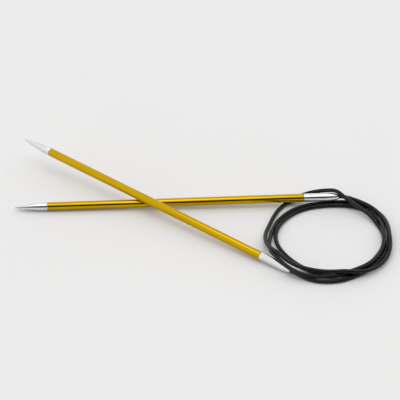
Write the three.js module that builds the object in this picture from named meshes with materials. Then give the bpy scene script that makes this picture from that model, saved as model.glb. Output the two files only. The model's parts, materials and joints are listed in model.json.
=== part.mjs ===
// Fixed circular knitting needle: two hollow aluminium needles joined by one plastic cable, laid down
// with the cable wound into a loose coil. Millimetres, +Z up, table at z = 0. Needle B runs along +X
// from its point to its cable end, and needle A lies across it, on top.
import * as THREE from "three";

// Driving dimensions of one needle, measured along its axis from the tip of its point.
const NEEDLE_RADIUS = 1.75;
const POINT_LENGTH = 13.9;
const SHAFT_LENGTH = 108.1;
const FERRULE_LENGTH = 14.7;
const NEEDLE_LENGTH = POINT_LENGTH + SHAFT_LENGTH + FERRULE_LENGTH;

// The point: a short round land, then a slightly swelling taper down to a blunt rounded tip.
const TIP_RADIUS = 0.45;
const TAPER_LENGTH = 11.6;
const TAPER_SWELL = 1.35;
const TAPER_STEPS = 8;
const TIP_STEPS = 3;

// The point and the ferrule each have a spigot that is pressed into the shaft's bore.
const SHAFT_BORE_RADIUS = 1.25;
const SPIGOT_RADIUS = 1.15;
const SPIGOT_LENGTH = 8;
const SEAM_GAP = 0.05;

// The ferrule: its nose is swaged down to the cable, and its cavity holds the cable's stop.
const NOSE_LENGTH = 5;
const NOSE_RADIUS = 1.15;
const NOSE_STEPS = 4;
const CABLE_RADIUS = 0.85;
const MOUTH_RADIUS = 0.98;
const MOUTH_BORE_LENGTH = 5.5;
const CAVITY_RADIUS = 1.4;
const CAVITY_END = 11.5;

// The stop is a sleeve crimped round the cable, too wide to leave the cavity.
const STOP_START = 6;
const STOP_LENGTH = 4.5;
const STOP_INNER_RADIUS = 0.93;
const STOP_OUTER_RADIUS = 1.28;

// The end of the cable reaches this deep into the ferrule, and turns sideways this far outside it.
const TAIL_DEPTH = 11;
const SWING_REACH = 5;
const SWING_GAP = 0.5;

// Where the needles lie: each all but touches the table at one end of its full width, and rises from there.
const TABLE_GAP = 0.04;
const NEEDLE_B_TIP = { x: -NEEDLE_LENGTH / 2, y: 4.4 };
const NEEDLE_B_RISE = Math.asin(0.0165);
const NEEDLE_A_MOUTH = { x: 45.5, y: -39.9 };
const NEEDLE_A_HEADING = THREE.MathUtils.degToRad(143.8);
const NEEDLE_A_RISE = Math.asin(0.0606);

// The coil's outer shape: a flat ring that swings out and in, climbs over ferrule A, and is one cable high
// where needle B lies on it. A change is strongest in one direction: degrees, millimetres, half its width.
const COIL_CENTRE = { x: 62.6, y: -20.2 };
const COIL_INNER_RADIUS = { usual: 21.5, changes: [[-135, -2, 60]] };
const COIL_OUTER_RADIUS = { usual: 26, changes: [[90, 5, 100], [-130, 2.8, 60]] };
const COIL_BOTTOM = { usual: 0, changes: [[-137, 4.7, 56]] };
const COIL_TOP = { usual: 3.4, changes: [[-145, 2.7, 60], [105, -2.1, 95]] };
const COIL_STEPS = 48;
const COIL_ROUNDING = 0.18;

// The cable between each swing point and the coil: points relative to the swing point.
const LEAD_A_ROUTE = [
  [0.4, -0.3, 0],
  [2.2, -1.4, -0.1],
  [4.4, -2.1, -0.2],
];
const LEAD_B_ROUTE = [
  [0.5, 0, 0],
  [3, -0.3, 0],
  [5.5, -1.1, 0],
];
const LEAD_STEPS = 3;

const ROUND_SIDES = 24;
const CABLE_SIDES = 8;

// Colours and finishes.
function goldAnodised() {
  return new THREE.MeshStandardMaterial({ color: 0xd0a428, roughness: 0.32, metalness: 0.95 });
}

function nickelPlate() {
  return new THREE.MeshStandardMaterial({ color: 0xc9ccce, roughness: 0.12, metalness: 1 });
}

function plainSteel() {
  return new THREE.MeshStandardMaterial({ color: 0x8d9093, roughness: 0.4, metalness: 1 });
}

function blackPlastic() {
  return new THREE.MeshStandardMaterial({ color: 0x161616, roughness: 0.38, metalness: 0 });
}

// A mesh turned round the needle's axis, from a profile of [distance along the axis, radius] pairs. Its
// flats, not its corners, lie at the stated radius, and one flat faces straight down.
function turned(name, profile, material, sides = ROUND_SIDES) {
  const cornerScale = 1 / Math.cos(Math.PI / sides);
  const points = profile.map(([along, radius]) => new THREE.Vector2(radius * cornerScale, along));
  const geometry = new THREE.LatheGeometry(points, sides);
  geometry.rotateY(Math.PI / sides);
  geometry.rotateZ(-Math.PI / 2);
  const mesh = new THREE.Mesh(geometry, material);
  mesh.name = name;
  return mesh;
}

// The bare point, with its spigot inside the shaft.
function point(side) {
  const profile = [[0, 0]];
  for (let step = 1; step <= TIP_STEPS; step += 1) {
    const angle = (step / TIP_STEPS) * (Math.PI / 2);
    profile.push([TIP_RADIUS * (1 - Math.cos(angle)), TIP_RADIUS * Math.sin(angle)]);
  }
  for (let step = 1; step <= TAPER_STEPS; step += 1) {
    const share = step / TAPER_STEPS;
    const swell = 1 - (1 - share) ** TAPER_SWELL;
    const radius = TIP_RADIUS + (NEEDLE_RADIUS - TIP_RADIUS) * swell;
    profile.push([TIP_RADIUS + (TAPER_LENGTH - TIP_RADIUS) * share, radius]);
  }
  profile.push([POINT_LENGTH, NEEDLE_RADIUS]);
  profile.push([POINT_LENGTH, SPIGOT_RADIUS]);
  profile.push([POINT_LENGTH + SPIGOT_LENGTH, SPIGOT_RADIUS]);
  profile.push([POINT_LENGTH + SPIGOT_LENGTH, 0]);
  return turned(`point_${side}`, profile, nickelPlate());
}

// The coloured shaft: an open tube.
function shaft(side) {
  const start = POINT_LENGTH + SEAM_GAP;
  const end = POINT_LENGTH + SHAFT_LENGTH - SEAM_GAP;
  const profile = [
    [start, SHAFT_BORE_RADIUS],
    [start, NEEDLE_RADIUS],
    [end, NEEDLE_RADIUS],
    [end, SHAFT_BORE_RADIUS],
    [start, SHAFT_BORE_RADIUS],
  ];
  return turned(`shaft_${side}`, profile, goldAnodised());
}

// The ferrule: a spigot, a full-width barrel, a swaged nose, and a bore that widens to a cavity.
function ferrule(side) {
  const barrelStart = NEEDLE_LENGTH - FERRULE_LENGTH;
  const profile = [
    [barrelStart - SPIGOT_LENGTH, 0],
    [barrelStart - SPIGOT_LENGTH, SPIGOT_RADIUS],
    [barrelStart, SPIGOT_RADIUS],
    [barrelStart, NEEDLE_RADIUS],
  ];
  for (let step = 0; step <= NOSE_STEPS; step += 1) {
    const share = step / NOSE_STEPS;
    const along = NEEDLE_LENGTH - NOSE_LENGTH * (1 - share);
    profile.push([along, NEEDLE_RADIUS - (NEEDLE_RADIUS - NOSE_RADIUS) * share ** 2]);
  }
  profile.push([NEEDLE_LENGTH, MOUTH_RADIUS]);
  profile.push([NEEDLE_LENGTH - MOUTH_BORE_LENGTH, MOUTH_RADIUS]);
  profile.push([NEEDLE_LENGTH - MOUTH_BORE_LENGTH, CAVITY_RADIUS]);
  profile.push([NEEDLE_LENGTH - CAVITY_END, CAVITY_RADIUS]);
  profile.push([NEEDLE_LENGTH - CAVITY_END, 0]);
  return turned(`ferrule_${side}`, profile, nickelPlate());
}

// The crimped sleeve inside the ferrule's cavity.
function cableStop(side) {
  const start = NEEDLE_LENGTH - STOP_START - STOP_LENGTH;
  const end = NEEDLE_LENGTH - STOP_START;
  const profile = [
    [start, STOP_INNER_RADIUS],
    [start, STOP_OUTER_RADIUS],
    [end, STOP_OUTER_RADIUS],
    [end, STOP_INNER_RADIUS],
    [start, STOP_INNER_RADIUS],
  ];
  return turned(`cable_stop_${side}`, profile, plainSteel());
}

// The end of the cable: from inside the ferrule to just short of the swing point.
function cableTail(side) {
  const start = NEEDLE_LENGTH - TAIL_DEPTH;
  const end = NEEDLE_LENGTH + SWING_REACH - SWING_GAP;
  const radius = CABLE_RADIUS * Math.cos(Math.PI / CABLE_SIDES);
  const profile = [
    [start, 0],
    [start, radius],
    [end, radius],
    [end, 0],
  ];
  return turned(`cable_tail_${side}`, profile, blackPlastic(), CABLE_SIDES);
}

// One needle and its cable end, in its own frame: point at the origin, cable end towards +X.
function needle(side) {
  const group = new THREE.Group();
  group.add(point(side), shaft(side), ferrule(side), cableStop(side), cableTail(side));
  return group;
}

// Places needle B: the front edge of its full width on the table, rising towards the coil.
function placeNeedleB(group) {
  const tipHeight = NEEDLE_RADIUS + TABLE_GAP - TAPER_LENGTH * Math.sin(NEEDLE_B_RISE);
  group.position.set(NEEDLE_B_TIP.x, NEEDLE_B_TIP.y, tipHeight);
  group.rotation.set(0, -NEEDLE_B_RISE, 0);
}

// Places needle A: its ferrule on the table, rising over needle B towards its own point.
function placeNeedleA(group) {
  const run = NEEDLE_LENGTH * Math.cos(NEEDLE_A_RISE);
  const barrelReach = NEEDLE_LENGTH - NOSE_LENGTH;
  group.position.set(
    NEEDLE_A_MOUTH.x + run * Math.cos(NEEDLE_A_HEADING),
    NEEDLE_A_MOUTH.y + run * Math.sin(NEEDLE_A_HEADING),
    NEEDLE_RADIUS + TABLE_GAP + barrelReach * Math.sin(NEEDLE_A_RISE),
  );
  group.rotation.order = "ZYX";
  group.rotation.set(0, NEEDLE_A_RISE, NEEDLE_A_HEADING + Math.PI);
}

// One measure of the coil in a direction: its usual value and the changes that reach this far.
function coilMeasure({ usual, changes }, direction) {
  return changes.reduce((sum, [strongest, size, halfWidth]) => {
    const apart = Math.abs(((direction - strongest + 540) % 360) - 180);
    const share = Math.min(apart / halfWidth, 1);
    return sum + (size * (1 + Math.cos(Math.PI * share))) / 2;
  }, usual);
}

// The coil as one closed ring: a ring of unit section, whose corners are then moved to the coil's shape.
function coil() {
  const section = [
    [COIL_ROUNDING, 0],
    [1 - COIL_ROUNDING, 0],
    [1, COIL_ROUNDING],
    [1, 1 - COIL_ROUNDING],
    [1 - COIL_ROUNDING, 1],
    [COIL_ROUNDING, 1],
    [0, 1 - COIL_ROUNDING],
    [0, COIL_ROUNDING],
    [COIL_ROUNDING, 0],
  ];
  const ring = section.map(([across, up]) => new THREE.Vector2(1 + across, up));
  const geometry = new THREE.LatheGeometry(ring, COIL_STEPS);
  geometry.rotateX(Math.PI / 2);
  const corners = geometry.getAttribute("position");
  const corner = new THREE.Vector3();
  for (let index = 0; index < corners.count; index += 1) {
    corner.fromBufferAttribute(corners, index);
    const angle = Math.atan2(corner.y, corner.x);
    const across = Math.hypot(corner.x, corner.y) - 1;
    const [inner, outer, bottom, top] = [COIL_INNER_RADIUS, COIL_OUTER_RADIUS, COIL_BOTTOM, COIL_TOP].map(
      (measure) => coilMeasure(measure, THREE.MathUtils.radToDeg(angle)),
    );
    const radius = THREE.MathUtils.lerp(inner, outer, across);
    const height = THREE.MathUtils.lerp(bottom, top, corner.z);
    corners.setXYZ(index, radius * Math.cos(angle), radius * Math.sin(angle), height);
  }
  const mesh = new THREE.Mesh(geometry, blackPlastic());
  mesh.name = "cable_coil";
  mesh.position.set(COIL_CENTRE.x, COIL_CENTRE.y, 0);
  return mesh;
}

// A short stretch of cable along a route given relative to a needle's swing point.
function cableLead(side, swingPoint, route) {
  const section = new THREE.Shape();
  for (let step = 0; step < CABLE_SIDES; step += 1) {
    const angle = ((step + 0.5) / CABLE_SIDES) * 2 * Math.PI;
    const place = [CABLE_RADIUS * Math.cos(angle), CABLE_RADIUS * Math.sin(angle)];
    if (step === 0) section.moveTo(...place);
    else section.lineTo(...place);
  }
  const points = route.map(([x, y, z]) => new THREE.Vector3(x, y, z).add(swingPoint));
  const geometry = new THREE.ExtrudeGeometry(section, {
    steps: LEAD_STEPS,
    extrudePath: new THREE.CatmullRomCurve3(points),
  });
  const mesh = new THREE.Mesh(geometry, blackPlastic());
  mesh.name = `cable_lead_${side}`;
  return mesh;
}

// The point on a placed needle's axis, outside its mouth, where its cable turns sideways.
function swingPointOf(group) {
  group.updateMatrixWorld(true);
  return new THREE.Vector3(NEEDLE_LENGTH + SWING_REACH, 0, 0).applyMatrix4(group.matrixWorld);
}

function circularNeedle() {
  const needleA = needle("a");
  const needleB = needle("b");
  placeNeedleA(needleA);
  placeNeedleB(needleB);
  const whole = new THREE.Group();
  whole.add(needleA, needleB, coil());
  whole.add(cableLead("a", swingPointOf(needleA), LEAD_A_ROUTE));
  whole.add(cableLead("b", swingPointOf(needleB), LEAD_B_ROUTE));
  return whole;
}

export default circularNeedle();
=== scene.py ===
"""Looks of a fixed circular knitting needle: two gold anodised needles with polished points, joined by one
black cable that lies in a loose coil. Metres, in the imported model's frame, with the table at z = 0."""

import json
import math

import bmesh
import bpy
from mathutils import Matrix, Vector
from mathutils.kdtree import KDTree


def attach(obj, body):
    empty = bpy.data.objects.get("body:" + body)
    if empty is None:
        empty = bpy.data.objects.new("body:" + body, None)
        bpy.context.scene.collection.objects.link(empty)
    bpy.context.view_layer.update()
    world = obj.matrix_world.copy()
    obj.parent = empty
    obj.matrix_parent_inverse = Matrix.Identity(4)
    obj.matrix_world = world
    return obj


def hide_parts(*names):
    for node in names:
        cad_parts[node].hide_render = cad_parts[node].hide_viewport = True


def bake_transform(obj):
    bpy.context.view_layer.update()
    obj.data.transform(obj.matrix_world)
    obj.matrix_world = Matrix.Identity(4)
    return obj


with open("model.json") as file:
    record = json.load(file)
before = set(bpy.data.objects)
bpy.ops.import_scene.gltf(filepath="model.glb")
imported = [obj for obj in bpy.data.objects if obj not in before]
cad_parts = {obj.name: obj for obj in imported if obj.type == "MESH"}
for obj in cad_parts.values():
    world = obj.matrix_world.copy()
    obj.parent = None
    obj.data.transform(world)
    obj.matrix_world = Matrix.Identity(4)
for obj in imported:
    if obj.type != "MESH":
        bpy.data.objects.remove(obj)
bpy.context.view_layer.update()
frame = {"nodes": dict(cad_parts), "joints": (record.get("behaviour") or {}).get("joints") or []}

MM = 0.001

# One needle, from the tip of its point to the mouth that its cable leaves, in millimetres.
NEEDLE_RADIUS = 1.75
POINT_LENGTH = 13.9
SHAFT_LENGTH = 108.1
FERRULE_LENGTH = 14.7
NEEDLE_LENGTH = POINT_LENGTH + SHAFT_LENGTH + FERRULE_LENGTH
TIP_RADIUS = 0.45
TAPER_LENGTH = 11.6
TAPER_SWELL = 1.35
NOSE_LENGTH = 5.0
NOSE_RADIUS = 1.15

# The ferrule's lip, and the mouth and cavity inside it.
LIP_RADIUS = 0.1
LIP_HEADINGS = (70, -60)
LIP_INSET = 0.11
MOUTH_START = 0.25
MOUTH_RADIUS = 0.93
MOUTH_DEPTH = 5.5
CAVITY_RADIUS = 1.4
CAVITY_END = 11.5

# The rounded edges and the seams where the pieces meet, and the wall of the hollow shaft.
EDGE_ROUNDING = 0.12
SEAM_DEPTH = 0.2
SEAM_GAP = 0.05
SHAFT_WALL = 0.5

# How finely each curved stretch of a needle's outline is cut, and how much of a quarter turn the tip takes.
TIP_STEPS = 8
TIP_SHARE = 0.86
TAPER_STEPS = 40
NOSE_STEPS = 24
CORNER_STEPS = 3

# The cable, in millimetres. Its ends run straight through the mouths and a little beyond them. The first
# stretch outside each mouth is a piece of its own.
CABLE_RADIUS = 0.85
CABLE_INSIDE = 11.0
STRAIGHT_A = 4.5
STRAIGHT_B = 1.5
LEAD_LENGTH = 16.0

# The coil: a spiral round its centre. Angles are degrees along the cable, counted on from turn to turn, and
# the radius drifts from each turn's own radius, reached at the top of the turn, to the next one's.
COIL_CENTRE = (62.6, -20.2)
COIL_START = -110
COIL_END = 1148
TURN_RADII = (24.0, 22.2, 22.9, 25.5)
TURN_TOP = 68
POINTS_PER_TURN = 32

# Where the cable springs out of the spiral or in: angle, millimetres outwards, half the width in degrees.
SWINGS = [
    (-105, 2.5, 60),
    (42, 3.8, 60),
    (140, 0.6, 60),
    (225, 4.0, 70),
    (405, 2.8, 50),
    (580, -2.0, 60),
    (685, -1.0, 40),
    (830, 6.8, 54),
    (885, 2.6, 55),
    (925, 1.7, 45),
    (985, -1.2, 45),
    (1037, 1.6, 50),
    (1125, 1.5, 45),
]

# Where it is laid over a needle or over an earlier turn: angle, millimetres up, half the width in degrees.
LIFTS = [
    (217, 3.5, 55),
    (330, 1.6, 95),
    (790, 5.2, 50),
    (930, 4.5, 72),
    (1010, 2.5, 60),
    (1070, 1.8, 80),
    (1150, 2.9, 45),
]

# How the laid cable settles: how many passes there are, how far each of the first ones lets it sink, and
# how strongly each place follows the height of its neighbours.
SETTLE_PASSES = 860
SINK_PASSES = 800
SINK = 0.003
STIFFNESS = 0.5

# Two places this many steps apart or less are one stretch of cable. Where two strands meet, the later one
# goes on top unless it was laid lower by more than the tie.
CLOSEST_ALONG = 10
TIE = 0.1

# The least gap between strands and under a needle, the gap over a needle, and the room beside its underside
# that it needs to swing.
CLEARANCE = 0.03
SWING_ROOM = 0.28
SWING_SIDE = 0.9

# How finely the cable and the turned pieces are cut, the angle over which an edge is shown sharp, and the
# distance in metres under which two corners are one.
CABLE_STEP = 1.0
CABLE_SIDES = 20
ROUND_SIDES = 96
SHARP_ANGLE = math.radians(32)
WELD_DISTANCE = 1e-7

# The camera: a long lens about 1 m away, looking down at the table, and how far it sees.
CAMERA_PLACE = Vector((-0.01046, -0.7782, 0.6417))
CAMERA_YAW = math.radians(1.4825)
CAMERA_PITCH = math.radians(39.184)
CAMERA_ROLL = math.radians(-0.2718)
CAMERA_LENS = 215.88
CAMERA_SENSOR = 36.0
CAMERA_REACH = 20

# The range that most of a noise's values lie in.
NOISE_LOW = 0.3
NOISE_HIGH = 0.7

# How bright the room is: its walls, what its ceiling adds, and its dark opening in front.
WALL_RADIANCE = 1.06
CEILING_EXTRA = 1.1
OPENING_RADIANCE = 0.02

# Where each soft edge of the opening and the ceiling starts and ends, along one axis of the view direction.
OPENING_FRONT = (-0.3, -0.5)
OPENING_LEFT = (-0.5, -0.3)
OPENING_FOOT = (0.08, 0.28)
OPENING_HEAD = (0.88, 0.72)
CEILING_EDGE = (0.9, 1.0)

# The table: its side in metres, and how many squares it has along it.
TABLE_SIZE = 8
TABLE_SQUARES = 4


# ---- Curves and meshes


def smooth_line(points, step):
    """A centripetal Catmull-Rom curve through the points, cut into even steps."""
    padded = [points[0] * 2 - points[1], *points, points[-1] * 2 - points[-2]]
    fine = []
    for p0, p1, p2, p3 in zip(padded, padded[1:], padded[2:], padded[3:]):
        t1 = (p1 - p0).length ** 0.5
        t2 = t1 + (p2 - p1).length ** 0.5
        t3 = t2 + (p3 - p2).length ** 0.5
        pieces = max(2, math.ceil((p2 - p1).length / step) * 4)
        for index in range(pieces):
            t = t1 + (t2 - t1) * index / pieces
            a1 = p0.lerp(p1, t / t1)
            a2 = p1.lerp(p2, (t - t1) / (t2 - t1))
            a3 = p2.lerp(p3, (t - t2) / (t3 - t2))
            b1 = a1.lerp(a2, t / t2)
            b2 = a2.lerp(a3, (t - t1) / (t3 - t1))
            fine.append(b1.lerp(b2, (t - t1) / (t2 - t1)))
    fine.append(points[-1].copy())
    return evenly(fine, step)


def evenly(points, step):
    """Points at equal distances along a polyline, both ends included."""
    total = sum((b - a).length for a, b in zip(points, points[1:]))
    spacing = total / round(total / step)
    spaced, travelled, wanted = [points[0].copy()], 0.0, spacing
    for a, b in zip(points, points[1:]):
        length = (b - a).length
        while wanted < travelled + length and wanted < total - spacing / 2:
            spaced.append(a.lerp(b, (wanted - travelled) / length))
            wanted += spacing
        travelled += length
    spaced.append(points[-1].copy())
    return spaced


def new_object(name, builder):
    """A smooth-shaded mesh object from a bmesh, with its faces turned outwards."""
    bmesh.ops.recalc_face_normals(builder, faces=builder.faces[:])
    mesh = bpy.data.meshes.new(name)
    builder.to_mesh(mesh)
    builder.free()
    mesh.shade_smooth()
    mesh.set_sharp_from_angle(angle=SHARP_ANGLE)
    made = bpy.data.objects.new(name, mesh)
    bpy.context.scene.collection.objects.link(made)
    return made


def join_rings(builder, rings):
    """Faces between each ring of points and the next one."""
    for before, after in zip(rings, rings[1:]):
        sides = len(before)
        for side in range(sides):
            after_side = (side + 1) % sides
            builder.faces.new((before[side], before[after_side], after[after_side], after[side]))


def tube(name, line, radius):
    """A closed round tube along a line, whose section is carried along without twisting."""
    builder = bmesh.new()
    heading = (line[1] - line[0]).normalized()
    across = heading.orthogonal().normalized()
    rings = []
    for index, centre in enumerate(line):
        ahead = line[min(index + 1, len(line) - 1)]
        behind = line[max(index - 1, 0)]
        new_heading = (ahead - behind).normalized()
        across = heading.rotation_difference(new_heading) @ across
        across = (across - new_heading * across.dot(new_heading)).normalized()
        heading = new_heading
        other = heading.cross(across)
        ring = []
        for side in range(CABLE_SIDES):
            angle = 2 * math.pi * side / CABLE_SIDES
            offset = across * math.cos(angle) + other * math.sin(angle)
            ring.append(builder.verts.new(centre + offset * radius))
        rings.append(ring)
    join_rings(builder, rings)
    builder.faces.new(rings[0])
    builder.faces.new(rings[-1])
    return new_object(name, builder)


def turned(name, profile, place):
    """A piece turned round the x axis from (along, radius) pairs in millimetres, then put in place."""
    builder = bmesh.new()
    rings = []
    for along, radius in profile:
        ring = []
        for side in range(ROUND_SIDES):
            angle = 2 * math.pi * side / ROUND_SIDES
            spot = Vector((along, radius * math.cos(angle), radius * math.sin(angle)))
            ring.append(builder.verts.new(spot * MM))
        rings.append(ring)
    join_rings(builder, rings)
    if profile[0] != profile[-1]:
        builder.faces.new(rings[0])
        builder.faces.new(rings[-1])
    else:
        join_rings(builder, [rings[-1], rings[0]])
    bmesh.ops.remove_doubles(builder, verts=builder.verts[:], dist=WELD_DISTANCE)
    made = new_object(name, builder)
    made.matrix_world = place
    return made


def rounded_corner(along, radius, turn_from, turn_to, size):
    """A round of this size between two headings in degrees, as (along, radius) pairs."""
    pairs = []
    for step in range(CORNER_STEPS + 1):
        angle = math.radians(turn_from + (turn_to - turn_from) * step / CORNER_STEPS)
        pairs.append((along + size * math.cos(angle), radius + size * math.sin(angle)))
    return pairs


# ---- Materials


def principled(name):
    """A new node material: its tree, its shader and its object coordinates."""
    material = bpy.data.materials.new(name)
    material.use_nodes = True
    tree = material.node_tree
    shader = tree.nodes["Principled BSDF"]
    place = tree.nodes.new("ShaderNodeTexCoord").outputs["Object"]
    return material, tree, shader, place


def stretched_noise(tree, place, stretch, detail=4.0):
    """Noise whose grain is 1 / stretch metres long on each axis."""
    mapping = tree.nodes.new("ShaderNodeMapping")
    mapping.inputs["Scale"].default_value = stretch
    noise = tree.nodes.new("ShaderNodeTexNoise")
    noise.inputs["Scale"].default_value = 1.0
    noise.inputs["Detail"].default_value = detail
    tree.links.new(place, mapping.inputs["Vector"])
    tree.links.new(mapping.outputs["Vector"], noise.inputs["Vector"])
    return noise.outputs["Fac"]


def between(tree, factor, low, high):
    """The factor's middle range mapped to a range of values."""
    ramp = tree.nodes.new("ShaderNodeMapRange")
    ramp.inputs["From Min"].default_value = NOISE_LOW
    ramp.inputs["From Max"].default_value = NOISE_HIGH
    ramp.inputs["To Min"].default_value = low
    ramp.inputs["To Max"].default_value = high
    tree.links.new(factor, ramp.inputs["Value"])
    return ramp.outputs["Result"]


def tinted(tree, factor, dark, light):
    """A colour between two others, by the factor's middle range."""
    ramp = tree.nodes.new("ShaderNodeValToRGB")
    ramp.color_ramp.elements[0].position = NOISE_LOW
    ramp.color_ramp.elements[0].color = (*dark, 1)
    ramp.color_ramp.elements[1].position = NOISE_HIGH
    ramp.color_ramp.elements[1].color = (*light, 1)
    tree.links.new(factor, ramp.inputs["Fac"])
    return ramp.outputs["Color"]


def bumped(tree, shader, height, distance, strength):
    """Fine relief on a shader, this many metres deep at full strength."""
    bump = tree.nodes.new("ShaderNodeBump")
    bump.inputs["Distance"].default_value = distance
    bump.inputs["Strength"].default_value = strength
    tree.links.new(height, bump.inputs["Height"])
    tree.links.new(bump.outputs["Normal"], shader.inputs["Normal"])


def gold_anodised():
    """Dyed anodised aluminium: fine turning marks round the shaft, and faint rubbed patches along it."""
    material, tree, shader, place = principled("gold_anodised_aluminium")
    rubbed = stretched_noise(tree, place, stretch=(60, 300, 300))
    turning = stretched_noise(tree, place, stretch=(9000, 250, 250), detail=2.0)
    colour = tinted(tree, rubbed, dark=(0.50, 0.31, 0.003), light=(0.56, 0.35, 0.005))
    tree.links.new(colour, shader.inputs["Base Color"])
    tree.links.new(between(tree, rubbed, low=0.06, high=0.11), shader.inputs["Roughness"])
    bumped(tree, shader, turning, distance=1e-6, strength=0.1)
    shader.inputs["Metallic"].default_value = 1.0
    return material


def nickel_plate():
    """Polished plate: cloudy handling marks and hairline polishing scratches along the needle."""
    material, tree, shader, place = principled("polished_nickel")
    cloudy = stretched_noise(tree, place, stretch=(150, 400, 400))
    hairlines = stretched_noise(tree, place, stretch=(120, 2500, 2500), detail=2.0)
    colour = tinted(tree, cloudy, dark=(0.66, 0.66, 0.665), light=(0.73, 0.73, 0.73))
    tree.links.new(colour, shader.inputs["Base Color"])
    tree.links.new(between(tree, cloudy, low=0.1, high=0.17), shader.inputs["Roughness"])
    bumped(tree, shader, hairlines, distance=1e-6, strength=0.06)
    shader.inputs["Metallic"].default_value = 1.0
    return material


def crimped_steel():
    """The hidden stop: dull steel with the die's marks."""
    material, tree, shader, place = principled("crimped_steel")
    dull = stretched_noise(tree, place, stretch=(500, 500, 500))
    marks = stretched_noise(tree, place, stretch=(3000, 3000, 900), detail=3.0)
    colour = tinted(tree, dull, dark=(0.30, 0.30, 0.31), light=(0.42, 0.42, 0.43))
    tree.links.new(colour, shader.inputs["Base Color"])
    tree.links.new(between(tree, dull, low=0.35, high=0.5), shader.inputs["Roughness"])
    bumped(tree, shader, marks, distance=8e-6, strength=0.4)
    shader.inputs["Metallic"].default_value = 1.0
    return material


def cable_plastic():
    """Extruded black plastic: satin, with a soft waviness and slightly greyer rubbed stretches."""
    material, tree, shader, place = principled("black_cable_plastic")
    rubbed = stretched_noise(tree, place, stretch=(180, 180, 180))
    skin = stretched_noise(tree, place, stretch=(2500, 2500, 2500), detail=3.0)
    colour = tinted(tree, rubbed, dark=(0.0012, 0.0012, 0.0012), light=(0.0040, 0.0039, 0.0038))
    tree.links.new(colour, shader.inputs["Base Color"])
    tree.links.new(between(tree, rubbed, low=0.12, high=0.2), shader.inputs["Roughness"])
    bumped(tree, shader, skin, distance=4e-6, strength=0.2)
    shader.inputs["Specular IOR Level"].default_value = 0.27
    return material


def table_top():
    """A matt, almost white sheet."""
    material, tree, shader, place = principled("pale_table")
    mottled = stretched_noise(tree, place, stretch=(8, 8, 8))
    colour = tinted(tree, mottled, dark=(0.825, 0.822, 0.822), light=(0.84, 0.837, 0.837))
    tree.links.new(colour, shader.inputs["Base Color"])
    shader.inputs["Roughness"].default_value = 0.9
    return material


GOLD = gold_anodised()
NICKEL = nickel_plate()
STEEL = crimped_steel()
PLASTIC = cable_plastic()


# ---- The needles


def needle_place(side):
    """The needle's own frame: its tip at the origin and its axis along x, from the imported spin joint."""
    joint = next(j for j in frame["joints"] if j["name"] == f"needle_{side}_spin")
    axis = Vector(joint["axis"]).normalized()
    across = Vector((0, 0, 1)).cross(axis).normalized()
    up = axis.cross(across)
    tip = Vector(joint["pos_m"]) - axis * NEEDLE_LENGTH * MM
    turn = Matrix((axis, across, up)).transposed().to_4x4()
    return Matrix.Translation(tip) @ turn


def point_profile():
    """Blunt rounded tip, slightly swelling taper, a short round land, and a sunk seam at the shaft."""
    pairs = [(0.0, 0.0)]
    for step in range(1, TIP_STEPS + 1):
        angle = math.radians(90 * step / TIP_STEPS * TIP_SHARE)
        pairs.append((TIP_RADIUS * (1 - math.cos(angle)), TIP_RADIUS * math.sin(angle)))
    start, low = pairs[-1]
    for step in range(1, TAPER_STEPS + 1):
        share = step / TAPER_STEPS
        swell = 1 - (1 - share) ** TAPER_SWELL
        pairs.append((start + (TAPER_LENGTH - start) * share, low + (NEEDLE_RADIUS - low) * swell))
    inner = NEEDLE_RADIUS - EDGE_ROUNDING
    pairs += rounded_corner(POINT_LENGTH - EDGE_ROUNDING, inner, 90, 0, EDGE_ROUNDING)
    pairs.append((POINT_LENGTH, NEEDLE_RADIUS - SEAM_DEPTH))
    pairs.append((POINT_LENGTH, 0.0))
    return pairs


def shaft_profile():
    """A tube with rounded ends, closed back to its first point."""
    start = POINT_LENGTH + SEAM_GAP
    end = POINT_LENGTH + SHAFT_LENGTH - SEAM_GAP
    inner = NEEDLE_RADIUS - EDGE_ROUNDING
    pairs = [(start, NEEDLE_RADIUS - SHAFT_WALL)]
    pairs += rounded_corner(start + EDGE_ROUNDING, inner, 180, 90, EDGE_ROUNDING)
    pairs += rounded_corner(end - EDGE_ROUNDING, inner, 90, 0, EDGE_ROUNDING)
    pairs.append((end, NEEDLE_RADIUS - SHAFT_WALL))
    pairs.append(pairs[0])
    return pairs


def ferrule_profile():
    """A straight barrel, a nose swaged down to the cable, a rolled lip, and the mouth and cavity inside."""
    start = NEEDLE_LENGTH - FERRULE_LENGTH
    inner = NEEDLE_RADIUS - EDGE_ROUNDING
    pairs = [(start, 0.0), (start, NEEDLE_RADIUS - SEAM_DEPTH)]
    pairs += rounded_corner(start + EDGE_ROUNDING, inner, 180, 90, EDGE_ROUNDING)
    for step in range(NOSE_STEPS + 1):
        share = step / NOSE_STEPS
        along = NEEDLE_LENGTH - EDGE_ROUNDING - (NOSE_LENGTH - EDGE_ROUNDING) * (1 - share)
        pairs.append((along, NEEDLE_RADIUS - (NEEDLE_RADIUS - NOSE_RADIUS) * share**2))
    lip = (NEEDLE_LENGTH - LIP_RADIUS, NOSE_RADIUS - LIP_INSET)
    pairs += rounded_corner(*lip, *LIP_HEADINGS, LIP_RADIUS)
    pairs.append((NEEDLE_LENGTH - MOUTH_START, MOUTH_RADIUS))
    pairs.append((NEEDLE_LENGTH - MOUTH_DEPTH, MOUTH_RADIUS))
    pairs.append((NEEDLE_LENGTH - MOUTH_DEPTH, CAVITY_RADIUS))
    pairs.append((NEEDLE_LENGTH - CAVITY_END, CAVITY_RADIUS))
    pairs.append((NEEDLE_LENGTH - CAVITY_END, 0.0))
    return pairs


def finish_piece(piece, material, slot, body, *nodes):
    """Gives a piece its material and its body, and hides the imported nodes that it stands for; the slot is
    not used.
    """
    piece.data.materials.append(material)
    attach(piece, body)
    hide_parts(*nodes)


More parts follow.
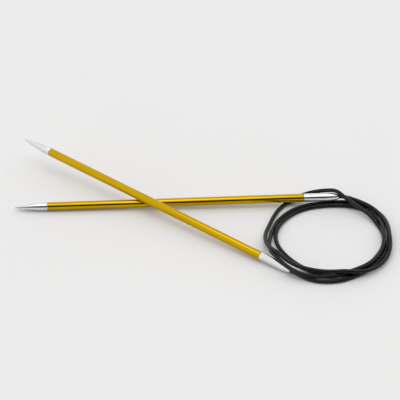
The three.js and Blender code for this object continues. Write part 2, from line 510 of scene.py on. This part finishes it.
def make_needle(side):
    """One needle's point, shaft and ferrule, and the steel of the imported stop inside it."""
    place = needle_place(side)
    body = f"needle_{side}"
    point = turned(f"polished_point_{side}", point_profile(), place)
    finish_piece(point, NICKEL, "nickel", body, f"point_{side}")
    shaft = turned(f"gold_shaft_{side}", shaft_profile(), place)
    finish_piece(shaft, GOLD, "gold_anodised", body, f"shaft_{side}")
    ferrule = turned(f"polished_ferrule_{side}", ferrule_profile(), place)
    finish_piece(ferrule, NICKEL, "nickel", body, f"ferrule_{side}")
    stop = frame["nodes"][f"cable_stop_{side}"]
    stop.material_slots[0].material = STEEL
    return place


# ---- The cable


def needle_end(place, beyond):
    """A point on a needle's axis, this many millimetres outside its mouth."""
    return place @ Vector(((NEEDLE_LENGTH + beyond) * MM, 0, 0))


def hump(angle, centre, half_width):
    """1 at the centre, easing down to 0 at half the width to each side."""
    share = min(abs(angle - centre) / half_width, 1)
    return (1 + math.cos(math.pi * share)) / 2


def spiral_radius(angle):
    """The radius of the plain spiral, which drifts from one turn's radius to the next."""
    turn = min(max((angle - TURN_TOP) / 360, 0), len(TURN_RADII) - 1)
    before = min(int(turn), len(TURN_RADII) - 2)
    share = turn - before
    return TURN_RADII[before] * (1 - share) + TURN_RADII[before + 1] * share


def added(changes, angle):
    """What the swings or the lifts add up to at an angle along the cable."""
    return sum(size * hump(angle, centre, half_width) for centre, size, half_width in changes)


def coil_points():
    """The coil as it is first laid, before it settles."""
    points = []
    count = round((COIL_END - COIL_START) / 360 * POINTS_PER_TURN)
    for index in range(count + 1):
        angle = COIL_START + (COIL_END - COIL_START) * index / count
        radius = spiral_radius(angle) + added(SWINGS, angle)
        height = CABLE_RADIUS + added(LIFTS, angle)
        turned_by = math.radians(angle)
        x = COIL_CENTRE[0] + radius * math.cos(turned_by)
        y = COIL_CENTRE[1] + radius * math.sin(turned_by)
        points.append(Vector((x, y, height)) * MM)
    return points


def needle_radius(along):
    """The radius of a needle at a distance from its tip, where it narrows down its nose."""
    share = min(max((along - NEEDLE_LENGTH + NOSE_LENGTH) / NOSE_LENGTH, 0), 1)
    return NEEDLE_RADIUS - (NEEDLE_RADIUS - NOSE_RADIUS) * share**2


def height_limits(point, places):
    """How low and how high the cable's middle can be here: over the table, and over or under each needle."""
    lowest, highest = CABLE_RADIUS * MM, math.inf
    for place in places:
        local = place.inverted() @ point / MM
        room, side_room = (SWING_ROOM, 0) if local.z > 0 else (CLEARANCE, SWING_SIDE)
        reach = needle_radius(local.x) + CABLE_RADIUS + room
        beside = max(abs(local.y) - side_room, 0)
        if 0 < local.x < NEEDLE_LENGTH and beside < reach:
            off_axis = math.sqrt(reach**2 - beside**2)
            if local.z > 0:
                lowest = max(lowest, (place @ (Vector((local.x, local.y, off_axis)) * MM)).z)
            else:
                highest = min(highest, (place @ (Vector((local.x, local.y, -off_axis)) * MM)).z)
    return lowest, highest


def crossings(laid):
    """The pairs of places where the cable lies on itself: upper, lower and the height between them."""
    reach = (2 * CABLE_RADIUS + CLEARANCE) * MM
    tree = KDTree(len(laid))
    for index, point in enumerate(laid):
        tree.insert((point.x, point.y, 0), index)
    tree.balance()
    pairs = []
    for index, point in enumerate(laid):
        for _, other, apart in tree.find_range((point.x, point.y, 0), reach):
            if other - index > CLOSEST_ALONG:
                upper, lower = (index, other) if point.z > laid[other].z + TIE * MM else (other, index)
                pairs.append((upper, lower, math.sqrt(reach**2 - apart**2)))
    return pairs


def settle(laid, places):
    """The laid cable sunk onto the table, the needles and itself; its stiffness keeps its humps long."""
    fixed_a = round((CABLE_INSIDE + STRAIGHT_A) / CABLE_STEP)
    fixed_b = round((CABLE_INSIDE + STRAIGHT_B) / CABLE_STEP)
    loose = range(fixed_a + 1, len(laid) - fixed_b - 1)
    limits = [(point.z, point.z) for point in laid]
    for index in loose:
        limits[index] = height_limits(laid[index], places)
    pairs = crossings(laid)
    heights = [point.z for point in laid]
    for settle_pass in range(SETTLE_PASSES):
        before = heights[:]
        if settle_pass < SINK_PASSES:
            for index in loose:
                evened = (before[index - 1] + before[index + 1]) / 2
                heights[index] += (evened - heights[index]) * STIFFNESS - SINK * MM
        for upper, lower, gap in pairs:
            lack = max(gap - heights[upper] + heights[lower], 0)
            heights[upper] += lack / 2
            heights[lower] -= lack / 2
        heights = [max(min(height, high), low) for height, (low, high) in zip(heights, limits)]
    for point, height in zip(laid, heights):
        point.z = height
    return laid


def cable_line(place_a, place_b):
    """The whole cable, from inside ferrule A to inside ferrule B."""
    start = [needle_end(place_a, beyond) for beyond in (-CABLE_INSIDE, 0, STRAIGHT_A / 2, STRAIGHT_A)]
    end = [needle_end(place_b, beyond) for beyond in (STRAIGHT_B, STRAIGHT_B / 2, 0, -CABLE_INSIDE)]
    laid = smooth_line([*start, *coil_points(), *end], CABLE_STEP * MM)
    return settle(laid, [place_a, place_b])


def make_lead(side, line):
    """A needle's first stretch of cable, as a piece of its own."""
    lead = tube(f"cable_bend_{side}", line, CABLE_RADIUS * MM)
    lead.data.materials.append(PLASTIC)
    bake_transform(lead)
    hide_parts(f"cable_tail_{side}")
    return lead


def make_cable(place_a, place_b):
    """The settled cable in three pieces: a bend at each needle, and the coil between them."""
    line = cable_line(place_a, place_b)
    cut = round((CABLE_INSIDE + LEAD_LENGTH) / CABLE_STEP)
    lead_a = make_lead("a", line[: cut + 1])
    lead_b = make_lead("b", line[-cut - 1 :][::-1])
    coil_line = line[cut:-cut]
    coil = tube("cable_in_coil", coil_line, CABLE_RADIUS * MM)
    nodes = ("cable_coil", "cable_lead_a", "cable_lead_b")
    finish_piece(coil, PLASTIC, "cable_plastic", "cable", *nodes)


# ---- The studio


def make_camera():
    """The viewpoint: a long lens, so that the two needles keep nearly the same width from end to end."""
    forward = Vector((
        math.sin(CAMERA_YAW) * math.cos(CAMERA_PITCH),
        math.cos(CAMERA_YAW) * math.cos(CAMERA_PITCH),
        -math.sin(CAMERA_PITCH),
    ))
    level = Vector((math.cos(CAMERA_YAW), -math.sin(CAMERA_YAW), 0))
    upright = level.cross(forward)
    right = level * math.cos(CAMERA_ROLL) + upright * math.sin(CAMERA_ROLL)
    up = upright * math.cos(CAMERA_ROLL) - level * math.sin(CAMERA_ROLL)
    data = bpy.data.cameras.new("camera")
    data.lens = CAMERA_LENS
    data.sensor_width = CAMERA_SENSOR
    data.clip_end = CAMERA_REACH
    camera = bpy.data.objects.new("camera", data)
    turn = Matrix((right, up, -forward)).transposed().to_4x4()
    camera.matrix_world = Matrix.Translation(CAMERA_PLACE) @ turn
    bpy.context.scene.collection.objects.link(camera)
    bpy.context.scene.camera = camera


def make_table():
    """The table's flat sheet, which belongs to the stage and not to the object."""
    builder = bmesh.new()
    bmesh.ops.create_grid(builder, x_segments=TABLE_SQUARES, y_segments=TABLE_SQUARES, size=TABLE_SIZE / 2)
    sheet = new_object("table_top", builder)
    sheet.data.materials.append(table_top())


def eased_step(tree, value, low, high):
    """1 above the higher of two bounds and 0 below the lower one, or the reverse where low > high."""
    step = tree.nodes.new("ShaderNodeMapRange")
    step.interpolation_type = "SMOOTHSTEP"
    step.inputs["From Min"].default_value = low
    step.inputs["From Max"].default_value = high
    tree.links.new(value, step.inputs["Value"])
    return step.outputs["Result"]


def product(tree, *values):
    """The values of several node outputs multiplied together."""
    result = values[0]
    for value in values[1:]:
        multiply = tree.nodes.new("ShaderNodeMath")
        multiply.operation = "MULTIPLY"
        tree.links.new(result, multiply.inputs[0])
        tree.links.new(value, multiply.inputs[1])
        result = multiply.outputs["Value"]
    return result


def mixed(tree, share, low, high):
    """The value between two others, each a number or a node's output."""
    mix = tree.nodes.new("ShaderNodeMix")
    tree.links.new(share, mix.inputs["Factor"])
    for name, value in (("A", low), ("B", high)):
        if isinstance(value, (int, float)):
            mix.inputs[name].default_value = value
        else:
            tree.links.new(value, mix.inputs[name])
    return mix.outputs["Result"]


def make_world():
    """A pale room with a bright ceiling. Its one dark opening draws the dark line along needle B."""
    world = bpy.data.worlds.new("studio")
    world.use_nodes = True
    tree = world.node_tree
    direction = tree.nodes.new("ShaderNodeTexCoord").outputs["Generated"]
    parts = tree.nodes.new("ShaderNodeSeparateXYZ")
    tree.links.new(direction, parts.inputs["Vector"])
    right, back, up = parts.outputs
    in_front = eased_step(tree, back, *OPENING_FRONT)
    not_left = eased_step(tree, right, *OPENING_LEFT)
    above_low = eased_step(tree, up, *OPENING_FOOT)
    below_high = eased_step(tree, up, *OPENING_HEAD)
    opening = product(tree, in_front, not_left, above_low, below_high)
    overhead = eased_step(tree, up, *CEILING_EDGE)
    room = mixed(tree, overhead, WALL_RADIANCE, WALL_RADIANCE + CEILING_EXTRA)
    strength = mixed(tree, opening, room, OPENING_RADIANCE)
    background = tree.nodes["Background"]
    background.inputs["Color"].default_value = (1, 0.995, 0.99, 1)
    tree.links.new(strength, background.inputs["Strength"])
    bpy.context.scene.world = world


def make_studio():
    """The table, the room round it and plain colours in the picture."""
    make_table()
    make_world()
    bpy.context.scene.view_settings.view_transform = "Standard"


make_camera()
placed_a = make_needle("a")
placed_b = make_needle("b")
make_cable(placed_a, placed_b)
make_studio()
